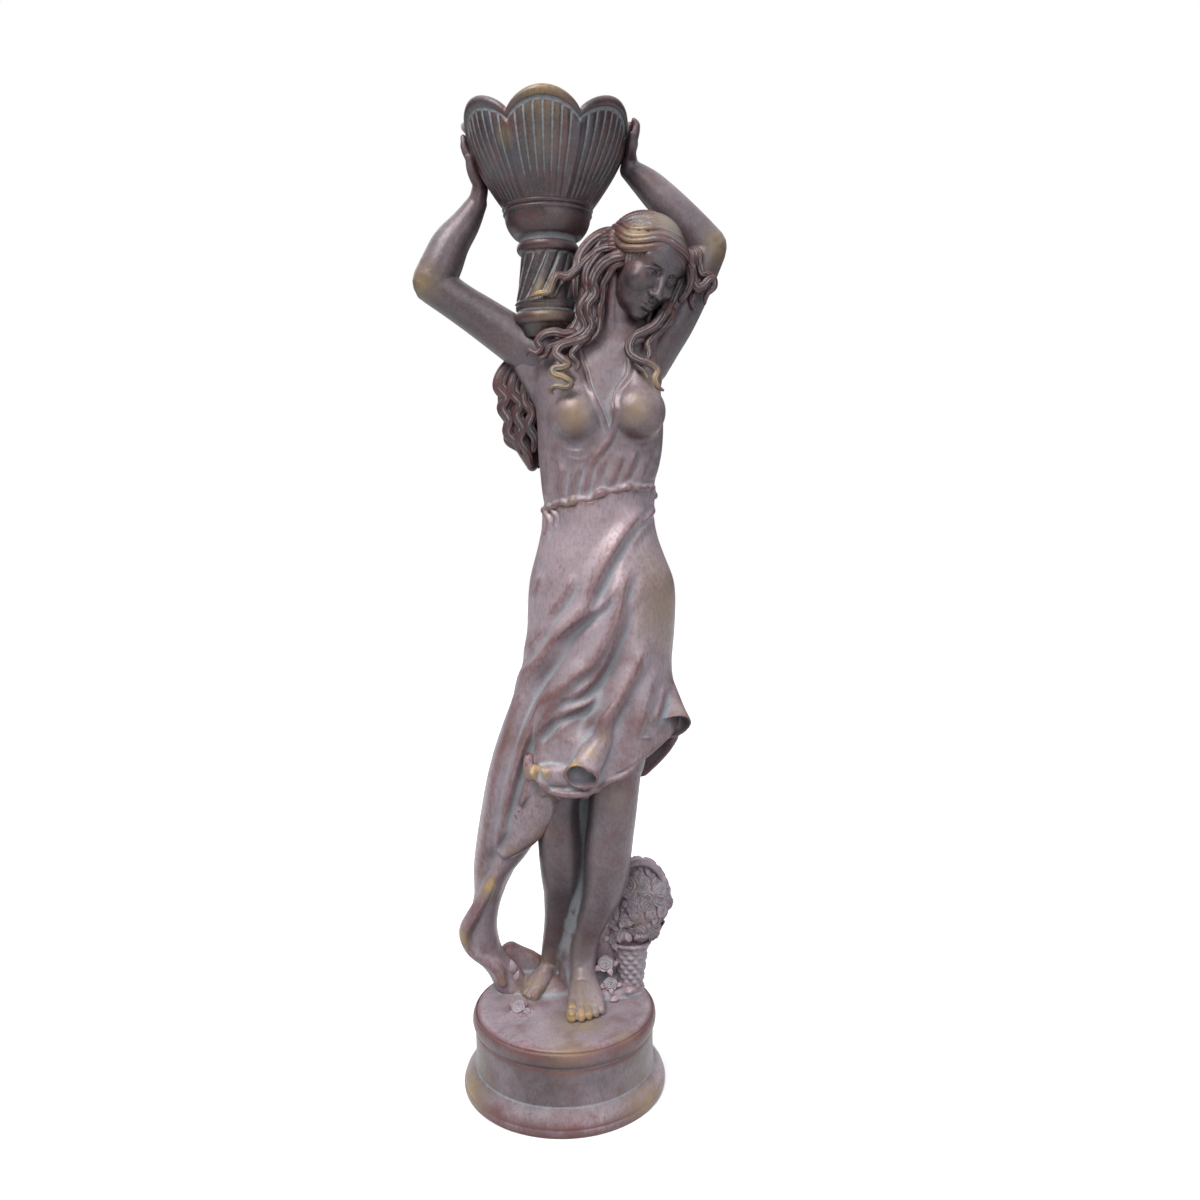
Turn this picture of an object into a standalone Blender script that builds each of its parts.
# Garden statue of a woman in a draped dress who carries a scalloped urn on her shoulder.
# Two cast pieces: the figure with its urn, flower basket and round ground, and the turned plinth it sits in.
import math

import bmesh
import bpy
import numpy as np
from mathutils import Matrix, Vector

# Plinth, metres
PLINTH_HEIGHT = 0.122
FOOT_RADIUS = 0.163
FOOT_EDGE_HEIGHT = 0.012
FOOT_SLOPE_HEIGHT = 0.024
DRUM_RADIUS = 0.1435
BEAD_RADIUS = 0.148
BEAD_HEIGHT = 0.025
SEAT_DEPTH = 0.012
SEAT_RIM = 0.006
SEAT_GAP = 0.0003
SEAT_SIDE_GAP = 0.001
PLINTH_SIDES = 48

# Figure, metres
GROUND_RISE = 0.004
FIGURE_HEIGHT = 1.369
BOWL_RIM_RADIUS = 0.1245
BOWL_NECK_RADIUS = 0.064
BOWL_DEPTH = 0.119
BOWL_WALL = 0.010
PETAL_RISE = 0.026
PETAL_COUNT = 7
STEM_RADIUS = 0.042
STEM_LENGTH = 0.102
BELL_HEIGHT = 0.042
RING_BULGE = 0.004
TORUS_RADIUS = 0.053
BASKET_RADIUS = 0.023
BASKET_HEIGHT = 0.085
ROSE_RADIUS = 0.017

# Fineness of the carved solid
VOXEL = 0.0036
FIGURE_FACES = 8150

# The pose is drawn in its own units, 136.9 from the ground to the rim of the bowl,
# so one unit is a centimetre on the statue at its real size.
POSE_HEIGHT = 136.9
UNIT = FIGURE_HEIGHT / POSE_HEIGHT
GROUND_LEVEL = PLINTH_HEIGHT + GROUND_RISE
SEAT_RADIUS = BEAD_RADIUS - SEAT_RIM


def units(length):
    # A real length in the units of the pose.
    return length / UNIT


def smooth_path(points, steps):
    # Catmull-Rom curve through rows of numbers, steps samples to each stretch.
    rows = np.array(points, float)
    ends = np.vstack([2 * rows[0] - rows[1], rows, 2 * rows[-1] - rows[-2]])
    samples = []
    for i in range(len(rows) - 1):
        p0, p1, p2, p3 = ends[i:i + 4]
        for t in np.linspace(0, 1, steps, endpoint=False):
            samples.append(0.5 * (2 * p1 + (p2 - p0) * t + (2 * p0 - 5 * p1 + 4 * p2 - p3) * t ** 2
                                  + (3 * p1 - p0 - 3 * p2 + p3) * t ** 3))
    samples.append(rows[-1])
    return np.array(samples)


def closed_body(rings):
    # A closed body from rings of points, with a fan over each end.
    rings = np.array(rings)
    ring_count, sides = rings.shape[:2]
    verts = [tuple(p) for p in rings.reshape(-1, 3)]
    verts += [tuple(rings[0].mean(axis=0)), tuple(rings[-1].mean(axis=0))]
    faces = []
    for i in range(ring_count - 1):
        for j in range(sides):
            k = (j + 1) % sides
            faces.append((i * sides + j, i * sides + k, (i + 1) * sides + k, (i + 1) * sides + j))
    first, last = len(verts) - 2, len(verts) - 1
    top = (ring_count - 1) * sides
    for j in range(sides):
        k = (j + 1) % sides
        faces.append((first, k, j))
        faces.append((last, top + j, top + k))
    return verts, faces


def limb(points, sides=20, steps=5):
    # A round-ended tube along rows of x, y, z, half width and half depth.
    path = smooth_path(points, steps)
    spots, widths, depths = path[:, :3], path[:, 3], path[:, 4]
    tangents = np.gradient(spots, axis=0)
    tangents /= np.linalg.norm(tangents, axis=1)[:, None]
    rings = []
    angles = np.linspace(0, 2 * math.pi, sides, endpoint=False)

    def ring(spot, tangent, width, depth):
        deep = np.array((0.0, 1.0, 0.0))
        if abs(tangent[1]) > 0.9:
            deep = np.array((0.0, 0.0, 1.0))
        deep = deep - tangent * deep.dot(tangent)
        deep /= np.linalg.norm(deep)
        wide = np.cross(tangent, deep)
        return [spot + wide * width * math.cos(a) - deep * depth * math.sin(a) for a in angles]

    for lean in (80, 55, 28):
        share, out = math.cos(math.radians(lean)), math.sin(math.radians(lean))
        reach = min(widths[0], depths[0]) * out
        rings.append(ring(spots[0] - tangents[0] * reach, tangents[0], widths[0] * share, depths[0] * share))
    for spot, tangent, width, depth in zip(spots, tangents, widths, depths):
        rings.append(ring(spot, tangent, width, depth))
    for lean in (28, 55, 80):
        share, out = math.cos(math.radians(lean)), math.sin(math.radians(lean))
        reach = min(widths[-1], depths[-1]) * out
        rings.append(ring(spots[-1] + tangents[-1] * reach, tangents[-1], widths[-1] * share, depths[-1] * share))
    return closed_body(rings)


def round_limb(points, sides=20, steps=5):
    # A limb of round section, from rows of x, y, z and radius.
    return limb([(x, y, z, r, r) for x, y, z, r in points], sides, steps)


def ellipsoid(centre, radii, turn=None, sides=28, rows=18):
    rings = []
    for i in range(1, rows):
        lean = math.pi * i / rows
        ring = []
        for j in range(sides):
            a = 2 * math.pi * j / sides
            spot = Vector((radii[0] * math.sin(lean) * math.cos(a),
                           radii[1] * math.sin(lean) * math.sin(a),
                           -radii[2] * math.cos(lean)))
            if turn is not None:
                spot = turn @ spot
            ring.append(spot + Vector(centre))
        rings.append(ring)
    return closed_body(rings)


def section_loft(sections, sides, steps):
    # Upright loft through rows of x, y, z, half width, half depth and squareness.
    rings = []
    for x, y, z, width, depth, power in smooth_path(sections, steps):
        ring = []
        for j in range(sides):
            a = 2 * math.pi * j / sides
            c, s = math.cos(a), math.sin(a)
            ring.append((x + width * math.copysign(abs(c) ** (2 / power), c),
                         y + depth * math.copysign(abs(s) ** (2 / power), s), z))
        rings.append(ring)
    return closed_body(rings)


def carve(verts, faces, strokes, facing):
    # Raises folds on one side of a body. A stroke is its points as x and z, its width, its height,
    # and how sharply it falls away on its lower side. Facing is -1 for the front and 1 for the back.
    spots = np.array(verts)
    mesh = bpy.data.meshes.new("carving")
    mesh.from_pydata(verts, [], faces)
    mesh.update()
    normals = np.empty(len(verts) * 3)
    mesh.vertices.foreach_get("normal", normals)
    normals = normals.reshape(-1, 3)
    bpy.data.meshes.remove(mesh)
    side = np.clip(normals[:, 1] * facing * 1.6 + 0.35, 0, 1)
    lift = np.zeros(len(spots))
    for points, width, height, fall in strokes:
        path = smooth_path(points, 6)
        best = np.full(len(spots), 1e9)
        across = np.zeros(len(spots))
        along = np.zeros(len(spots))
        for i in range(len(path) - 1):
            a, b = path[i], path[i + 1]
            run = b - a
            t = ((spots[:, [0, 2]] - a) @ run) / run.dot(run)
            t = np.clip(t, 0, 1)
            gap = spots[:, [0, 2]] - a - t[:, None] * run
            far = np.hypot(gap[:, 0], gap[:, 1])
            closer = far < best
            sign = np.sign(run[0] * gap[:, 1] - run[1] * gap[:, 0])
            best[closer] = far[closer]
            across[closer] = (sign * far)[closer]
            along[closer] = ((i + t) / (len(path) - 1))[closer]
        taper = np.clip(np.minimum(along, 1 - along) * 5, 0, 1)
        taper = taper * taper * (3 - 2 * taper)
        near = np.where(across > 0, across / width, -across / (width * fall))
        ridge = np.exp(-near ** 2) - 0.45 * np.exp(-((near - 1.7) / 0.7) ** 2)
        lift += height * ridge * taper
    spots = spots + normals * (lift * side)[:, None]
    return [tuple(p) for p in spots], faces


def fold_fan(count, starts, ends, bow, width, height, fall=0.6):
    # A family of folds between two lines: starts and ends are each two points as x and z.
    # The folds leave the first line and settle on the second, bowed to one side.
    strokes = []
    for i in range(count):
        share = i / max(1, count - 1)
        ax, az = (starts[0][k] + (starts[1][k] - starts[0][k]) * share for k in (0, 1))
        bx, bz = (ends[0][k] + (ends[1][k] - ends[0][k]) * share for k in (0, 1))
        dx, dz = bx - ax, bz - az
        points = [(ax, az), (ax + dx * 0.33 + dz * bow, az + dz * 0.33 - dx * bow),
                  (ax + dx * 0.68 - dz * bow * 0.6, az + dz * 0.68 + dx * bow * 0.6), (bx, bz)]
        strokes.append((points, width * (1 + 0.25 * math.sin(2.4 * i)), height * (1 + 0.3 * math.cos(1.9 * i)), fall))
    return strokes


# Urn. Its axis stands over her right shoulder.
URN_X, URN_Y = -2.1, 0.0
RIM_LEVEL = POSE_HEIGHT


def bowl_outer(level):
    # Radius of the bowl's outside at a share of its height, 0 at the neck and 1 at the rim.
    return BOWL_NECK_RADIUS + (BOWL_RIM_RADIUS - BOWL_NECK_RADIUS) * math.sin(level * math.pi / 2)


def bowl_height():
    return BOWL_DEPTH + BOWL_WALL * 1.5


def bowl_side(z):
    # Radius of the bowl in pose units at a height in pose units.
    level = (z - (RIM_LEVEL - units(bowl_height()))) / units(bowl_height())
    return units(bowl_outer(min(max(level, 0.0), 1.0)))


def petal(angle):
    # 1 in the middle of a petal and 0 in the notch between two; a petal faces the front.
    return abs(math.cos((angle + math.pi / 2) * PETAL_COUNT / 2)) ** 0.7


def urn_bowl():
    height = bowl_height()
    base = RIM_LEVEL - units(height)
    sides = PETAL_COUNT * 16
    rings = []

    def ring(level, inset, roll):
        spots = []
        for j in range(sides):
            a = 2 * math.pi * j / sides
            share = petal(a)
            top = height - PETAL_RISE * (1 - share)
            swell = 1 - 0.09 * (1 - share) * level
            r = (bowl_outer(level) - inset) * swell + roll
            spots.append((URN_X + units(r) * math.cos(a), URN_Y + units(r) * math.sin(a), base + units(top * level)))
        return spots

    for level in np.linspace(0, 0.9, 12):
        rings.append(ring(level, 0, 0))
    rings.append(ring(0.94, 0, 0.001))
    rings.append(ring(0.965, 0, 0.004))
    rings.append(ring(0.985, 0, 0.0045))
    rings.append(ring(1.0, 0, 0.001))
    rings.append(ring(0.985, BOWL_WALL * 0.8, 0))
    floor_level = BOWL_WALL * 1.5 / height
    for level in np.linspace(0.93, floor_level, 9):
        rings.append(ring(level, BOWL_WALL, 0))
    floor = ring(floor_level, BOWL_WALL, 0)
    for share in (0.8, 0.4):
        rings.append([(URN_X + (x - URN_X) * share, URN_Y + (y - URN_Y) * share, z - units(0.001))
                      for x, y, z in floor])
    return closed_body(rings)


def turned(profile, sides=48):
    # A turned body about the urn's axis, from rows of radius in metres and height in pose units.
    rings = [[(URN_X + units(r) * math.cos(2 * math.pi * j / sides),
               URN_Y + units(r) * math.sin(2 * math.pi * j / sides), z) for j in range(sides)]
             for r, z in profile]
    return closed_body(rings)


def urn_foot():
    # Torus, waisted stem, ring, bell and the ring under the bowl, from the shoulder upwards.
    bowl_base = RIM_LEVEL - units(bowl_height())
    bell_base = bowl_base - units(BELL_HEIGHT)
    stem_base = bell_base - units(STEM_LENGTH)
    torus_height = units(0.026)
    stem_top = units(STEM_LENGTH)
    profile = [(TORUS_RADIUS - 0.013, stem_base - torus_height - 1.6), (TORUS_RADIUS - 0.006, stem_base - torus_height)]
    for lean in (-60, -30, 0, 30, 60):
        a = math.radians(lean)
        profile.append((TORUS_RADIUS - 0.008 + 0.008 * math.cos(a), stem_base + torus_height * (math.sin(a) - 1) / 2))
    profile.append((TORUS_RADIUS - 0.007, stem_base + 0.1))
    profile.append((STEM_RADIUS + 0.0085, stem_base + 0.5))
    profile.append((STEM_RADIUS + 0.006, stem_base + stem_top * 0.18))
    profile.append((STEM_RADIUS + 0.002, stem_base + stem_top * 0.4))
    profile.append((STEM_RADIUS, stem_base + stem_top * 0.62))
    profile.append((STEM_RADIUS, stem_base + stem_top * 0.78))
    profile.append((STEM_RADIUS + RING_BULGE, stem_base + stem_top * 0.81))
    profile.append((STEM_RADIUS + RING_BULGE * 1.5, stem_base + stem_top * 0.88))
    profile.append((STEM_RADIUS + RING_BULGE, stem_base + stem_top * 0.95))
    for share, swell in ((0.05, 0.2), (0.25, 0.62), (0.5, 0.88), (0.78, 0.98), (0.9, 0.95)):
        r = STEM_RADIUS + RING_BULGE + (BOWL_NECK_RADIUS - STEM_RADIUS - RING_BULGE) * swell
        profile.append((r, bell_base + (bowl_base - bell_base) * share))
    profile.append((BOWL_NECK_RADIUS + RING_BULGE * 0.6, bowl_base - 0.3))
    profile.append((BOWL_NECK_RADIUS + RING_BULGE * 0.6, bowl_base + 0.35))
    profile.append((BOWL_NECK_RADIUS - 0.004, bowl_base + 0.8))
    return turned(profile)


# Body, in pose units: x to her left, y to her back, z up from the ground.
def torso():
    body = section_loft([
        (5.6, 0.6, 66.0, 11.0, 8.4, 2.1),
        (5.5, 0.4, 75.0, 8.9, 6.9, 2.2),
        (5.4, 0.2, 79.0, 8.4, 6.3, 2.3),
        (5.4, 0.2, 83.5, 8.9, 6.5, 2.3),
        (5.7, 0.3, 88.0, 9.6, 6.6, 2.3),
        (5.7, 0.4, 93.0, 9.8, 6.8, 2.3),
        (5.2, 0.6, 98.0, 9.8, 6.6, 2.3),
        (5.2, 0.9, 102.0, 10.0, 5.8, 2.3),
        (6.0, 1.0, 105.5, 8.4, 4.6, 2.2),
        (7.0, 0.6, 108.5, 4.6, 3.8, 2.1),
    ], 56, 7)
    seam = ([(-3.2, 79.0), (1.0, 79.8), (5.4, 81.3), (10.0, 82.6), (14.6, 83.4)], 0.75, 0.75, 0.7)
    gathers = fold_fan(6, ((0.0, 88.5), (11.5, 89.5)), ((-1.6, 80.6), (12.6, 83.4)), 0.05, 0.75, 0.5)
    body = carve(*body, [seam] + gathers, -1)
    back_seam = ([(-3.4, 80.4), (5.4, 81.6), (14.6, 82.4)], 0.75, 0.7, 0.7)
    return [carve(*body, [back_seam], 1)]


def bust():
    parts = []
    for x, y, z in ((2.3, -4.6, 93.2), (11.2, -4.9, 93.8)):
        parts.append(ellipsoid((x, y, z), (4.3, 3.9, 4.3)))
        parts.append(round_limb([(x, y + 1.4, z + 7.5, 1.8), (x, y + 0.9, z + 3.6, 3.2), (x, y + 0.4, z, 3.9)]))
    parts.append(round_limb([(-1.2, 1.2, 96.5, 3.4), (-3.2, 1.4, 101.0, 4.0), (-4.2, 1.2, 104.2, 4.0)]))
    parts.append(round_limb([(12.2, 1.2, 97.0, 2.6), (12.8, 1.3, 101.0, 2.8), (13.8, 1.2, 104.0, 3.3)]))
    return parts


def arms():
    left_wrist_z, left_palm_z, left_tip_z = 129.9, 132.4, 136.1
    right_wrist_z, right_palm_z, right_tip_z = 124.9, 128.6, 133.9
    palm = 0.35

    def grip(z, side, depth=0.6):
        return URN_X + side * (bowl_side(z) + depth)

    right_arm = round_limb([(-2.4, 1.0, 102.4, 4.3), (-5.8, 1.0, 104.1, 3.7), (-8.9, 0.9, 106.1, 3.4),
                            (-12.2, 0.8, 108.3, 3.2), (-15.6, 0.6, 110.5, 3.0), (-19.2, 0.4, 113.0, 3.0)])
    wrist_x = grip(right_wrist_z, -1, 3.2)
    right_forearm = round_limb([(-19.3, 0.3, 113.4, 3.2), (-18.0, 0.3, 116.0, 3.1), (-16.6, 0.4, 119.0, 2.8),
                                (-14.4, 0.6, 122.0, 2.25), (wrist_x, 0.8, right_wrist_z, 1.6)])
    right_hand = limb([(wrist_x, 0.8, right_wrist_z, 1.4, 1.7),
                       (grip(right_palm_z, -1, palm), 0.9, right_palm_z, 1.15, 2.5),
                       (grip(131.4, -1, palm), 0.6, 131.4, 1.0, 2.6),
                       (grip(right_tip_z, -1, palm), 0.2, right_tip_z, 0.8, 2.3)])
    left_arm = round_limb([(12.8, 1.2, 101.2, 3.3), (14.9, 1.1, 104.6, 3.3), (16.9, 1.0, 107.6, 3.15),
                           (18.9, 0.9, 111.2, 2.95), (20.5, 0.9, 114.8, 2.85), (21.9, 0.9, 118.2, 2.8)])
    left_wrist_x = grip(left_wrist_z, 1, 1.8)
    left_forearm = round_limb([(21.9, 0.9, 118.7, 2.9), (19.0, 1.0, 121.9, 2.65), (15.5, 1.2, 125.2, 2.6),
                               (12.8, 1.3, 127.8, 2.3), (left_wrist_x, 1.4, left_wrist_z, 1.65)])
    left_hand = limb([(left_wrist_x, 1.4, left_wrist_z, 1.4, 1.7),
                      (grip(left_palm_z, 1, palm), 1.2, left_palm_z, 1.2, 2.4),
                      (grip(135.0, 1, palm), 0.9, 135.0, 1.0, 2.4),
                      (grip(left_tip_z, 1, palm), 0.6, left_tip_z, 0.7, 2.0)])
    return [right_arm, right_forearm, right_hand, left_arm, left_forearm, left_hand]


# Head: tilted to her left, turned the same way and bowed.
HEAD_CENTRE = Vector((12.4, -3.3, 115.2))
HEAD_UP = Vector((0.513, -0.244, 0.823)).normalized()
HEAD_LEFT = Vector((0.731, 0.627, -0.270)).normalized()
HEAD_BACK = HEAD_UP.cross(HEAD_LEFT).normalized()
HEAD_TURN = Matrix((HEAD_LEFT, HEAD_BACK, HEAD_UP)).transposed()


def head_spot(x, y, z):
    return HEAD_CENTRE + HEAD_TURN @ Vector((x, y, z))


def head():
    parts = [
        ellipsoid(head_spot(0, 0.8, 1.4), (5.0, 6.0, 5.8), HEAD_TURN),
        ellipsoid(head_spot(0, -1.9, -1.9), (4.1, 3.9, 5.3), HEAD_TURN),
        ellipsoid(head_spot(0, -3.9, -6.0), (1.7, 1.5, 1.3), HEAD_TURN),
        ellipsoid(head_spot(0, -5.3, -3.9), (1.2, 0.7, 0.5), HEAD_TURN),
        ellipsoid(head_spot(0, -4.5, 1.4), (3.0, 0.9, 0.6), HEAD_TURN),
        ellipsoid(head_spot(-1.7, -4.7, 0.0), (0.95, 0.8, 0.6), HEAD_TURN),
        ellipsoid(head_spot(1.7, -4.7, 0.0), (0.95, 0.8, 0.6), HEAD_TURN),
    ]
    bridge, tip = head_spot(0, -5.2, 0.9), head_spot(0, -6.3, -2.1)
    parts.append(round_limb([(*bridge, 0.5), (*((bridge + tip) / 2), 0.6), (*tip, 0.85)], 12, 4))
    throat = head_spot(0, 0.6, -4.0)
    parts.append(round_limb([(6.6, 0.4, 102.5, 4.2), (7.4, 0.2, 106.5, 3.4), (*throat, 3.3)]))
    return parts


def lock(points, radius, sway, waves, thin=0.25):
    # A wavy lock of hair: radius at its root, sideways sway, and waves along its length.
    path = smooth_path(points, 8)
    spots = []
    for i, (x, y, z) in enumerate(path):
        share = i / (len(path) - 1)
        swing = sway * math.sin(share * waves * 2 * math.pi) * min(1, share * 4)
        run = path[min(i + 1, len(path) - 1)] - path[max(i - 1, 0)]
        across = Vector((run[2], 0, -run[0])).normalized()
        r = radius * (1 - (1 - thin) * share ** 1.6)
        spots.append((x + across.x * swing, y, z + across.z * swing, r))
    return round_limb(spots, 12, 2)


def hair():
    cap = (5.6, 6.3, 5.6)
    parts = [ellipsoid(head_spot(0, 1.5, 1.3), cap, HEAD_TURN)]

    def on_cap(x, y):
        return 1.3 + cap[2] * math.sqrt(max(0.0, 1 - (x / cap[0]) ** 2 - ((y - 1.5) / cap[1]) ** 2))

    for side in (-1, 1):
        for y in (-3.7, -1.3, 1.4, 4.0):
            points = [(*head_spot(x * side - 0.9, y + lag, on_cap(x * side - 0.9, y + lag)), 0.8)
                      for x, lag in ((0.5, 0.0), (2.4, 0.2), (4.2, 0.5))]
            points.append((*head_spot(5.4 * side, y * 0.8 + 1.4, 0.4), 1.0))
            points.append((*head_spot(5.0 * side, y * 0.6 + 2.2, -3.0), 1.1))
            parts.append(round_limb(points, 12, 4))
    root = head_spot(-5.0, 0.5, 1.5)
    parts.append(lock([root, (5.6, -3.2, 113.6), (4.0, -3.8, 109.8), (3.8, -4.6, 104.6), (3.4, -5.4, 100.8),
                       (1.4, -6.4, 97.8)], 1.8, 0.75, 3.2))
    parts.append(round_limb([(7.0, 0.2, 117.0, 2.6), (4.0, 0.2, 111.6, 2.5), (3.0, 0.8, 105.0, 2.6)]))
    parts.append(lock([root, (5.2, -3.2, 115.5), (1.2, -4.6, 114.2), (-1.8, -5.4, 112.2), (-4.6, -5.6, 111.0)],
                      1.5, 0.6, 2.0))
    parts.append(lock([(3.2, -2.6, 107.5), (0.6, -4.2, 104.6), (-3.0, -4.6, 103.6)], 1.3, 0.5, 1.5))
    parts.append(lock([head_spot(3.6, 0.5, -4.0), (12.6, -3.4, 105.0), (11.4, -5.2, 101.6), (14.2, -5.6, 98.2)],
                      1.5, 0.6, 2.0))
    parts.append(lock([head_spot(5.0, 1.0, 1.0), (19.8, -1.4, 113.8), (21.6, -1.6, 112.6), (21.0, -1.4, 109.8)],
                      1.6, 0.4, 1.2, 0.6))
    fall = section_loft([
        (2.6, 6.4, 84.0, 4.0, 1.4, 2.0),
        (2.0, 6.6, 88.0, 9.5, 2.6, 2.2),
        (2.2, 6.8, 93.0, 12.3, 3.0, 2.3),
        (1.9, 6.6, 98.0, 12.4, 3.2, 2.3),
        (2.8, 5.8, 103.0, 11.4, 3.6, 2.2),
        (6.6, 4.4, 108.0, 7.6, 4.0, 2.2),
        (9.4, 3.0, 112.5, 6.4, 4.2, 2.1),
        (11.0, 1.6, 116.0, 5.4, 4.4, 2.0),
    ], 64, 6)
    ripples = fold_fan(7, ((-4.0, 110.0), (14.0, 112.0)), ((-8.5, 86.0), (11.0, 84.0)), 0.06, 1.1, 0.75)
    parts.append(carve(*fall, ripples, 1))
    return parts


def legs():
    right_leg = round_limb([(0.6, -2.8, 42.0, 4.0), (-0.6, -3.0, 34.0, 3.3), (-0.9, -0.8, 25.5, 3.05),
                            (-0.9, 1.8, 18.0, 2.6), (-1.4, 4.0, 12.0, 2.1), (-2.3, 6.0, 5.0, 2.2)], 24, 6)
    left_leg = round_limb([(8.8, -4.2, 42.0, 3.9), (8.2, -4.2, 34.0, 3.3), (7.3, -2.0, 25.5, 3.3),
                           (6.2, 0.2, 18.5, 3.15), (4.5, 2.0, 13.5, 2.4), (3.0, 3.8, 8.0, 2.0),
                           (2.9, 4.4, 4.0, 2.2)], 24, 6)
    right_thigh = round_limb([(2.4, 0.4, 62.0, 6.2), (1.6, -1.4, 50.0, 5.2), (0.6, -2.8, 40.0, 4.0)], 24, 6)
    left_thigh = round_limb([(10.0, 0.2, 62.0, 6.4), (9.6, -1.8, 51.0, 5.4), (8.7, -4.2, 40.0, 4.0)], 24, 6)
    right_arch = limb([(-1.8, 8.6, 2.2, 1.9, 1.8), (-3.6, 5.2, 3.0, 2.2, 2.4), (-5.0, 2.8, 2.4, 2.7, 1.7),
                       (-5.9, 1.4, 1.9, 2.6, 1.2)])
    left_arch = limb([(2.9, 6.8, 2.0, 2.0, 1.9), (2.8, 2.0, 3.2, 2.2, 2.6), (2.6, -2.4, 2.2, 2.8, 1.7),
                      (2.6, -5.2, 1.4, 2.9, 1.0)])
    parts = [right_leg, left_leg, right_thigh, left_thigh, right_arch, left_arch]
    for i in range(5):
        share = i / 4
        x, reach, r = 0.4 + 4.5 * share, -7.3 + 1.5 * share ** 1.5, 0.85 - 0.3 * share ** 0.5
        parts.append(round_limb([(x + 0.2, -4.6, 1.3, r), (x, (reach - 4.6) / 2, 1.2, r),
                                 (x - 0.05, reach, 0.75, r)], 10, 3))
        x, reach, r = -4.3 - 3.6 * share, 0.6 + 1.6 * share, 0.8 - 0.25 * share ** 0.5
        parts.append(round_limb([(x + 0.5, reach + 2.4, 1.9, r), (x, reach + 0.9, 1.7, r),
                                 (x - 0.3, reach, 1.1, r)], 10, 3))
    web = limb([(1.4, 4.4, 0.0, 3.2, 2.8), (1.4, 3.8, 8.0, 2.2, 2.6), (2.0, 2.4, 15.0, 2.1, 2.8),
                (3.1, 0.2, 24.0, 2.2, 3.0), (3.9, -1.2, 33.0, 2.5, 3.2), (4.4, -1.2, 40.0, 2.8, 3.2)])
    parts.append(web)
    return parts


# Hem: height of the skirt's edge at each side of her, read round from her left.
HEM_ANGLES = (-180, -160, -135, -115, -90, -65, -35, -15, 15, 45, 90, 135, 180)
HEM_LEVELS = (31.0, 33.0, 36.5, 37.0, 39.0, 41.5, 44.5, 46.5, 42.0, 36.0, 32.5, 31.0, 31.0)


def hem_level(angle):
    return float(np.interp(math.degrees(angle), HEM_ANGLES, HEM_LEVELS))


def skirt():
    # A curtain from the waist to the hem, closed below by a shallow hollow.
    sections = smooth_path([
        (5.4, 0.2, 80.0, 8.5, 6.5), (5.5, 0.4, 76.0, 8.95, 7.1), (5.7, 0.6, 72.5, 9.95, 7.9),
        (5.95, 0.8, 68.5, 11.3, 8.7), (5.95, 0.9, 64.5, 11.6, 9.0), (5.8, 0.7, 60.0, 11.55, 9.0),
        (5.4, 0.2, 55.5, 11.6, 8.9), (5.2, -0.2, 51.5, 12.3, 8.9), (5.1, -0.4, 47.5, 13.1, 9.0),
        (4.8, -0.4, 42.0, 13.4, 9.2), (4.4, -0.4, 36.0, 13.0, 9.4), (4.0, -0.2, 28.0, 12.6, 9.4)], 4)
    levels = sections[:, 2]
    sides = 96
    rings = []

    def spot(angle, z, share):
        x, y, width, depth = (float(np.interp(-z, -levels, sections[:, k])) for k in (0, 1, 3, 4))
        return (x + width * share * math.cos(angle), y + depth * share * math.sin(angle), z)

    for level in np.linspace(0, 1, 34):
        ring = []
        for j in range(sides):
            a = -math.pi + 2 * math.pi * j / sides
            ring.append(spot(a, 80.0 + (hem_level(a) - 80.0) * level, 1))
        rings.append(ring)
    for share, rise in ((0.93, -0.3), (0.84, 0.6), (0.6, 3.0), (0.3, 4.0)):
        rings.append([spot(-math.pi + 2 * math.pi * j / sides,
                           hem_level(-math.pi + 2 * math.pi * j / sides) + rise, share) for j in range(sides)])
    sweep = fold_fan(5, ((12.5, 78.0), (8.0, 60.0)), ((-8.0, 50.0), (0.0, 38.0)), 0.05, 1.5, 0.75)
    sweep += fold_fan(3, ((1.5, 66.0), (-2.5, 66.0)), ((-4.5, 56.0), (-6.5, 56.0)), 0.04, 1.0, 0.5)
    sweep += fold_fan(2, ((13.0, 54.0), (16.0, 52.0)), ((4.0, 42.5), (11.5, 42.5)), 0.03, 1.3, 0.8)
    body = carve(*closed_body(rings[::-1]), sweep, -1)
    behind = fold_fan(6, ((-2.0, 76.0), (13.0, 74.0)), ((-10.0, 36.0), (11.0, 36.0)), 0.04, 1.7, 0.8)
    body = carve(*body, behind, 1)
    tip = limb([(14.5, -0.6, 57.0, 1.6, 2.2), (16.8, -1.2, 51.5, 2.0, 2.6), (18.0, -1.6, 48.4, 1.6, 2.6)])
    flute = limb([(7.5, -6.4, 52.0, 0.9, 1.2), (5.0, -8.6, 45.0, 1.6, 1.6), (4.2, -9.4, 40.2, 2.3, 1.7)])
    curl = limb([(-1.5, -5.6, 47.0, 0.9, 1.4), (-3.6, -6.8, 42.5, 1.2, 1.5), (-2.6, -7.2, 38.4, 1.6, 1.4)])
    return [body, tip, flute, curl]


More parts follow.
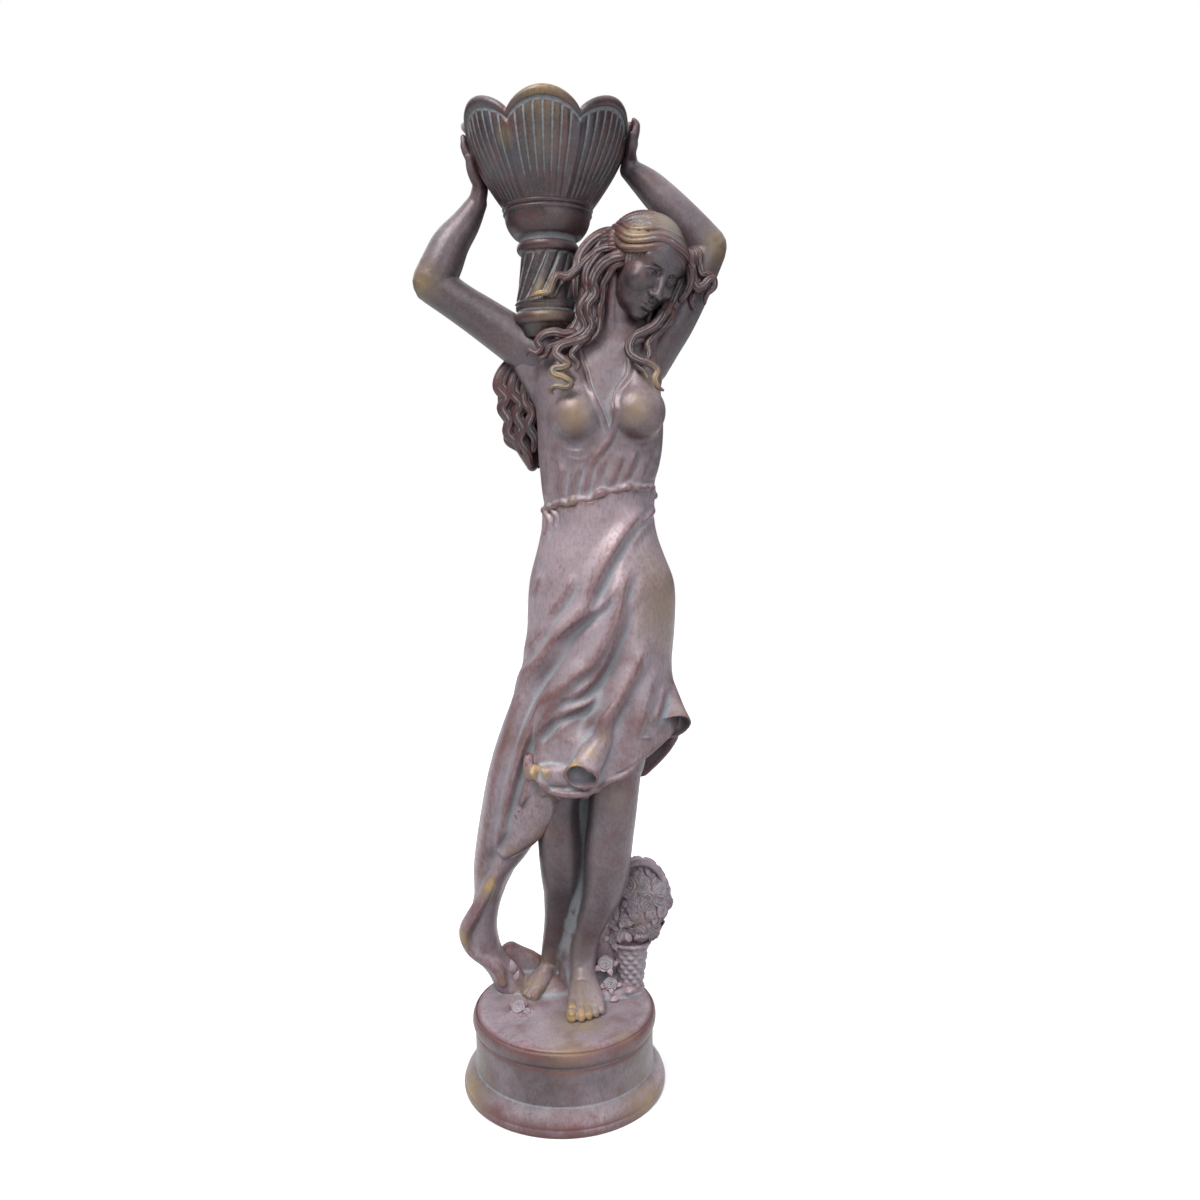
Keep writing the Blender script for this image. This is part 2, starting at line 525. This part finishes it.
def tail():
    # The gathered end of the skirt, which falls at her right side and twists on to the ground.
    fall = section_loft([
        (-8.6, 5.0, 0.0, 3.0, 3.0, 2.0),
        (-10.2, 5.0, 3.0, 2.8, 2.9, 2.0),
        (-12.5, 4.4, 6.0, 2.7, 3.0, 2.0),
        (-13.7, 3.8, 9.0, 2.9, 3.2, 2.0),
        (-13.5, 3.2, 12.5, 2.5, 3.1, 2.0),
        (-12.5, 2.6, 17.0, 2.4, 3.1, 2.0),
        (-11.8, 2.2, 20.5, 3.0, 3.5, 2.0),
        (-10.1, 1.8, 24.5, 4.3, 4.0, 2.1),
        (-9.0, 1.2, 28.0, 5.0, 4.7, 2.1),
        (-8.0, 0.8, 32.0, 5.3, 5.4, 2.2),
        (-6.6, 0.4, 38.0, 5.5, 6.4, 2.2),
        (-4.9, 0.2, 44.0, 5.4, 7.0, 2.2),
        (-3.0, 0.2, 50.0, 4.8, 6.8, 2.2),
        (-0.5, 0.2, 56.0, 3.6, 5.4, 2.2),
    ], 56, 6)
    runs = fold_fan(4, ((-8.0, 52.0), (-1.5, 46.0)), ((-14.2, 13.0), (-11.2, 14.0)), 0.02, 1.0, 0.6)
    body = carve(*fall, runs, -1)
    body = carve(*body, runs, 1)
    swirl = limb([(-11.0, 0.0, 22.5, 0.8, 1.0), (-12.4, -0.6, 18.0, 1.2, 1.3), (-14.6, 0.4, 12.8, 1.5, 1.6),
                  (-15.2, 2.2, 8.8, 1.6, 1.7), (-12.8, 2.6, 5.0, 1.6, 1.6), (-10.6, 2.4, 2.0, 1.1, 1.1)])
    return [body, swirl]


def ground():
    # The round ground under her feet, with the rock behind them; it fills the seat in the plinth.
    radius = units(SEAT_RADIUS - SEAT_SIDE_GAP)
    thickness = units(GROUND_RISE + SEAT_DEPTH)
    sides = 72
    rings = []
    for share, z in ((0.5, -thickness - 1.0), (1.0, -thickness - 1.0), (1.0, -units(GROUND_RISE)), (0.985, -0.12),
                     (0.93, 0.1), (0.7, 0.3), (0.35, 0.45)):
        rings.append([(radius * share * math.cos(2 * math.pi * j / sides),
                       radius * share * math.sin(2 * math.pi * j / sides), z) for j in range(sides)])
    parts = [closed_body(rings)]
    parts.append(ellipsoid((-4.0, 6.2, 0.4), (7.4, 5.0, 1.9)))
    parts.append(ellipsoid((6.4, 5.4, 0.4), (6.6, 5.2, 2.0)))
    parts.append(limb([(-10.0, 6.4, 4.6, 3.4, 1.6), (-7.8, 7.0, 3.6, 3.0, 1.5), (-5.4, 7.4, 2.4, 2.6, 1.4)]))
    parts.append(limb([(-2.4, 8.0, 1.6, 3.2, 1.8), (-1.6, 6.6, 6.0, 2.2, 1.6), (-0.4, 5.0, 12.0, 1.4, 1.4)]))
    parts.append(limb([(6.4, 6.0, 1.6, 3.4, 2.4), (6.0, 5.2, 9.0, 2.6, 2.2), (6.2, 3.8, 18.0, 1.8, 1.8)]))
    return parts


def rose(centre, radius):
    # A rose as a rounded core in a ring of petals.
    x, y, z = centre
    parts = [ellipsoid(centre, (radius * 0.62, radius * 0.62, radius * 0.62), None, 10, 8)]
    for i in range(5):
        a = 2 * math.pi * i / 5
        parts.append(ellipsoid((x + radius * 0.5 * math.cos(a), y - radius * 0.05, z + radius * 0.5 * math.sin(a)),
                               (radius * 0.5, radius * 0.42, radius * 0.5), None, 10, 8))
    return parts


BASKET_X, BASKET_Y = 10.9, 5.0


def basket():
    top = units(BASKET_HEIGHT)
    r = units(BASKET_RADIUS)
    parts = [section_loft([
        (BASKET_X, BASKET_Y, -0.4, r * 0.86, r * 0.86, 2.0), (BASKET_X, BASKET_Y, top * 0.5, r * 0.92, r * 0.92, 2.0),
        (BASKET_X, BASKET_Y, top, r * 1.12, r * 1.12, 2.0)], 28, 5)]
    middle = (BASKET_X + 1.6, BASKET_Y - 0.2, top + 7.4)
    parts.append(ellipsoid(middle, (3.9, 3.6, 6.4)))
    size = units(ROSE_RADIUS)
    for row, (z, ring, count) in enumerate(((-4.6, 2.9, 7), (-1.4, 3.6, 8), (1.9, 3.2, 7), (4.6, 2.0, 5))):
        for i in range(count):
            a = 2 * math.pi * (i + 0.5 * (row % 2)) / count
            parts += rose((middle[0] + ring * math.cos(a), middle[1] + ring * math.sin(a), middle[2] + z), size)
    for x, y, z in ((7.6, 4.6, 3.4), (8.2, 2.6, 1.6), (-7.2, -2.6, 0.6)):
        parts += rose((x, y, z), size * 0.82)
    return parts


def new_object(name, verts, faces):
    mesh = bpy.data.meshes.new(name)
    mesh.from_pydata([tuple(v) for v in verts], [], faces)
    mesh.update()
    piece = bpy.data.objects.new(name, mesh)
    bpy.context.scene.collection.objects.link(piece)
    return piece


def finish(name, colour, roughness, metallic):
    material = bpy.data.materials.new(name)
    material.use_nodes = True
    shader = material.node_tree.nodes["Principled BSDF"]
    shader.inputs["Base Color"].default_value = (*colour, 1.0)
    shader.inputs["Roughness"].default_value = roughness
    shader.inputs["Metallic"].default_value = metallic
    return material


def apply_modifier(piece, kind, **settings):
    modifier = piece.modifiers.new(kind.lower(), kind)
    for key, value in settings.items():
        setattr(modifier, key, value)
    bpy.context.view_layer.objects.active = piece
    bpy.ops.object.modifier_apply(modifier=modifier.name)


def build_figure():
    parts = []
    for group in (torso, bust, arms, head, hair, legs, skirt, tail, ground, basket):
        parts += group()
    parts += [urn_foot(), urn_bowl()]
    verts, faces = [], []
    for part_verts, part_faces in parts:
        start = len(verts)
        verts += [(x * UNIT, y * UNIT, z * UNIT + GROUND_LEVEL) for x, y, z in part_verts]
        faces += [tuple(start + k for k in face) for face in part_faces]
    figure = new_object("figure", verts, faces)
    apply_modifier(figure, "REMESH", mode="VOXEL", voxel_size=VOXEL, adaptivity=0.0)
    apply_modifier(figure, "SMOOTH", factor=0.5, iterations=2)
    figure.modifiers.clear()
    keep_largest(figure)
    triangles = len(figure.data.polygons) * 2
    apply_modifier(figure, "DECIMATE", ratio=FIGURE_FACES / triangles)
    cut_flat(figure, GROUND_LEVEL - GROUND_RISE - SEAT_DEPTH + SEAT_GAP)
    figure.data.materials.append(finish("bronze patina", (0.125, 0.085, 0.085), 0.5, 0.25))
    figure.data.shade_smooth()
    figure.data.set_sharp_from_angle(angle=math.radians(40))
    return figure


def keep_largest(piece):
    # Any speck that the joining leaves inside or beside the figure goes.
    bm = bmesh.new()
    bm.from_mesh(piece.data)
    unseen = set(bm.verts)
    groups = []
    while unseen:
        stack = [unseen.pop()]
        group = []
        while stack:
            vert = stack.pop()
            group.append(vert)
            for edge in vert.link_edges:
                other = edge.other_vert(vert)
                if other in unseen:
                    unseen.remove(other)
                    stack.append(other)
        groups.append(group)
    groups.sort(key=len)
    for group in groups[:-1]:
        bmesh.ops.delete(bm, geom=group, context="VERTS")
    bm.to_mesh(piece.data)
    bm.free()


def cut_flat(piece, level):
    # The underside: one flat face that rests on the floor of the seat.
    bm = bmesh.new()
    bm.from_mesh(piece.data)
    bmesh.ops.bisect_plane(bm, geom=bm.verts[:] + bm.edges[:] + bm.faces[:], dist=1e-7,
                           plane_co=(0, 0, level), plane_no=(0, 0, -1), clear_outer=True)
    rim = [edge for edge in bm.edges if edge.is_boundary]
    bmesh.ops.edgeloop_fill(bm, edges=rim)
    bmesh.ops.triangulate(bm, faces=bm.faces[:])
    bmesh.ops.recalc_face_normals(bm, faces=bm.faces[:])
    bm.to_mesh(piece.data)
    bm.free()


def build_plinth():
    # Turned section from the middle of the seat out over the bead and down to the underside.
    seat_floor = PLINTH_HEIGHT - SEAT_DEPTH
    bead_low = PLINTH_HEIGHT - BEAD_HEIGHT
    slope_top = FOOT_EDGE_HEIGHT + FOOT_SLOPE_HEIGHT
    profile = [(SEAT_RADIUS, seat_floor), (SEAT_RADIUS, PLINTH_HEIGHT - 0.003)]
    middle, half = PLINTH_HEIGHT - BEAD_HEIGHT / 2, BEAD_HEIGHT / 2
    for lean in (76, 38, 0, -38, -76):
        a = math.radians(lean)
        profile.append((BEAD_RADIUS - half * 0.45 * (1 - math.cos(a)), middle + half * math.sin(a)))
    profile.append((DRUM_RADIUS, bead_low - 0.001))
    profile.append((DRUM_RADIUS, slope_top + 0.004))
    for share in (0.0, 0.25, 0.5, 0.75, 1.0):
        swell = share ** 1.5
        profile.append((DRUM_RADIUS + (FOOT_RADIUS - DRUM_RADIUS - 0.001) * swell,
                        slope_top - FOOT_SLOPE_HEIGHT * share))
    profile.append((FOOT_RADIUS, FOOT_EDGE_HEIGHT - 0.003))
    profile.append((FOOT_RADIUS, 0.003))
    profile.append((FOOT_RADIUS - 0.003, 0.0))
    verts, faces = [], []
    for r, z in profile:
        for j in range(PLINTH_SIDES):
            a = 2 * math.pi * j / PLINTH_SIDES
            verts.append((r * math.cos(a), r * math.sin(a), z))
    for i in range(len(profile) - 1):
        for j in range(PLINTH_SIDES):
            k = (j + 1) % PLINTH_SIDES
            faces.append((i * PLINTH_SIDES + j, (i + 1) * PLINTH_SIDES + j,
                          (i + 1) * PLINTH_SIDES + k, i * PLINTH_SIDES + k))
    faces.append(tuple(range(PLINTH_SIDES)))
    last = (len(profile) - 1) * PLINTH_SIDES
    faces.append(tuple(range(last + PLINTH_SIDES - 1, last - 1, -1)))
    plinth = new_object("plinth", verts, faces)
    plinth.data.materials.append(finish("bronze patina on the plinth", (0.13, 0.105, 0.11), 0.55, 0.2))
    plinth.data.shade_smooth()
    plinth.data.set_sharp_from_angle(angle=math.radians(40))
    return plinth


for item in list(bpy.data.objects):
    bpy.data.objects.remove(item)
build_plinth()
build_figure()
